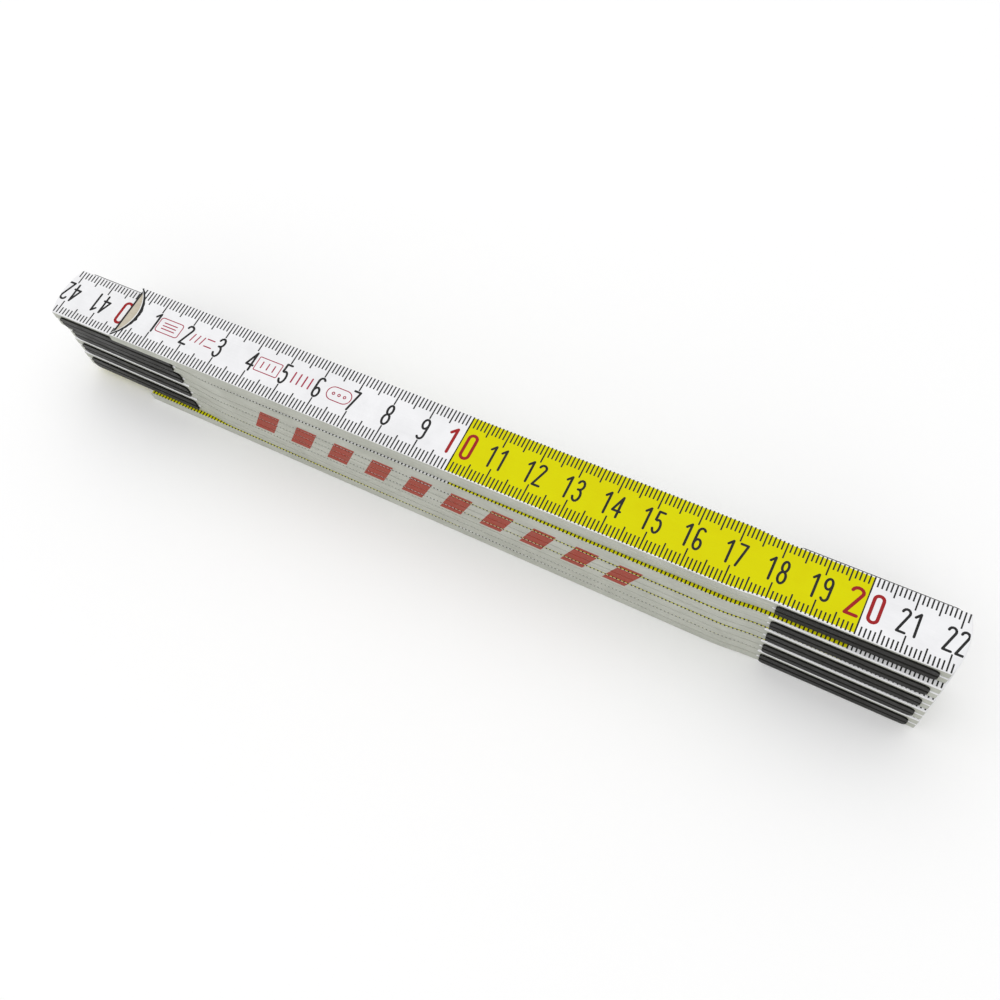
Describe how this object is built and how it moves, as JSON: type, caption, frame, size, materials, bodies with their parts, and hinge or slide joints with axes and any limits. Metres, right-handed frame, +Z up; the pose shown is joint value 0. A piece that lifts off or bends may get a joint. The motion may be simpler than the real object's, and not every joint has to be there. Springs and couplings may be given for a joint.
{
  "type": "folding rule",
  "caption": "Stack of graduated wooden slats joined end to end by concealed pivots; it folds flat for the pocket and opens out into a long rule.",
  "frame": {"origin": "middle of the underside of the bottom slat, halfway between its two joint stations", "axes": "+X from the zero end along the folded stack, +Y across the slats away from the reader, +Z up out of the printed face of the top slat"},
  "size_m": [0.2456, 0.019, 0.0329],
  "materials": {
    "slat_lacquer": "satin lacquered beech, printed in white and yellow fields with black and red graduations",
    "joint_steel": "blackened spring steel sheet, satin, bright at worn edges",
    "rivet_steel": "plain steel, upset heads",
    "spring_steel": "hardened spring steel"
  },
  "bodies": {
    "link_01": {"slat_01": "slat_lacquer", "upper_plate_01": "joint_steel", "rivet_01": "rivet_steel", "spring_washer_01": "spring_steel"},
    "link_02": {"slat_02": "slat_lacquer", "upper_plate_02": "joint_steel", "rivet_02": "rivet_steel", "spring_washer_02": "spring_steel", "lower_plate_01": "joint_steel"},
    "link_03": {"slat_03": "slat_lacquer", "upper_plate_03": "joint_steel", "rivet_03": "rivet_steel", "spring_washer_03": "spring_steel", "lower_plate_02": "joint_steel"},
    "link_04": {"slat_04": "slat_lacquer", "upper_plate_04": "joint_steel", "rivet_04": "rivet_steel", "spring_washer_04": "spring_steel", "lower_plate_03": "joint_steel"},
    "link_05": {"slat_05": "slat_lacquer", "upper_plate_05": "joint_steel", "rivet_05": "rivet_steel", "spring_washer_05": "spring_steel", "lower_plate_04": "joint_steel"},
    "link_06": {"slat_06": "slat_lacquer", "upper_plate_06": "joint_steel", "rivet_06": "rivet_steel", "spring_washer_06": "spring_steel", "lower_plate_05": "joint_steel"},
    "link_07": {"slat_07": "slat_lacquer", "upper_plate_07": "joint_steel", "rivet_07": "rivet_steel", "spring_washer_07": "spring_steel", "lower_plate_06": "joint_steel"},
    "link_08": {"slat_08": "slat_lacquer", "upper_plate_08": "joint_steel", "rivet_08": "rivet_steel", "spring_washer_08": "spring_steel", "lower_plate_07": "joint_steel"},
    "link_09": {"slat_09": "slat_lacquer", "upper_plate_09": "joint_steel", "rivet_09": "rivet_steel", "spring_washer_09": "spring_steel", "lower_plate_08": "joint_steel"},
    "link_10": {"slat_10": "slat_lacquer", "lower_plate_09": "joint_steel"}
  },
  "joints": [
    {"name": "fold_09_10", "type": "hinge", "parent": "link_10", "child": "link_09", "pos_m": [0.1, 0, 0.00325], "axis": [0, 0, 1], "range_deg": [-179.84, 180.16]},
    {"name": "fold_08_09", "type": "hinge", "parent": "link_09", "child": "link_08", "pos_m": [-0.1, 0.00056, 0.00655], "axis": [0, 0, 1], "range_deg": [-180.07, 179.93]},
    {"name": "fold_07_08", "type": "hinge", "parent": "link_08", "child": "link_07", "pos_m": [0.1, 0.00024, 0.00985], "axis": [0, 0, 1], "range_deg": [-179.93, 180.07]},
    {"name": "fold_06_07", "type": "hinge", "parent": "link_07", "child": "link_06", "pos_m": [-0.1, 0.0008, 0.01315], "axis": [0, 0, 1], "range_deg": [-180.14, 179.86]},
    {"name": "fold_05_06", "type": "hinge", "parent": "link_06", "child": "link_05", "pos_m": [0.1, 0.00073, 0.01645], "axis": [0, 0, 1], "range_deg": [-179.94, 180.06]},
    {"name": "fold_04_05", "type": "hinge", "parent": "link_05", "child": "link_04", "pos_m": [-0.1, 0.00101, 0.01975], "axis": [0, 0, 1], "range_deg": [-180.16, 179.84]},
    {"name": "fold_03_04", "type": "hinge", "parent": "link_04", "child": "link_03", "pos_m": [0.1, 0.00129, 0.02305], "axis": [0, 0, 1], "range_deg": [-180.19, 179.81]},
    {"name": "fold_02_03", "type": "hinge", "parent": "link_03", "child": "link_02", "pos_m": [-0.1, 0.00035, 0.02635], "axis": [0, 0, 1], "range_deg": [-180.39, 179.61]},
    {"name": "fold_01_02", "type": "hinge", "parent": "link_02", "child": "link_01", "pos_m": [0.09999, 0.00265, 0.02965], "axis": [0, 0, 1], "range_deg": [-180.16, 179.84]}
  ]
}
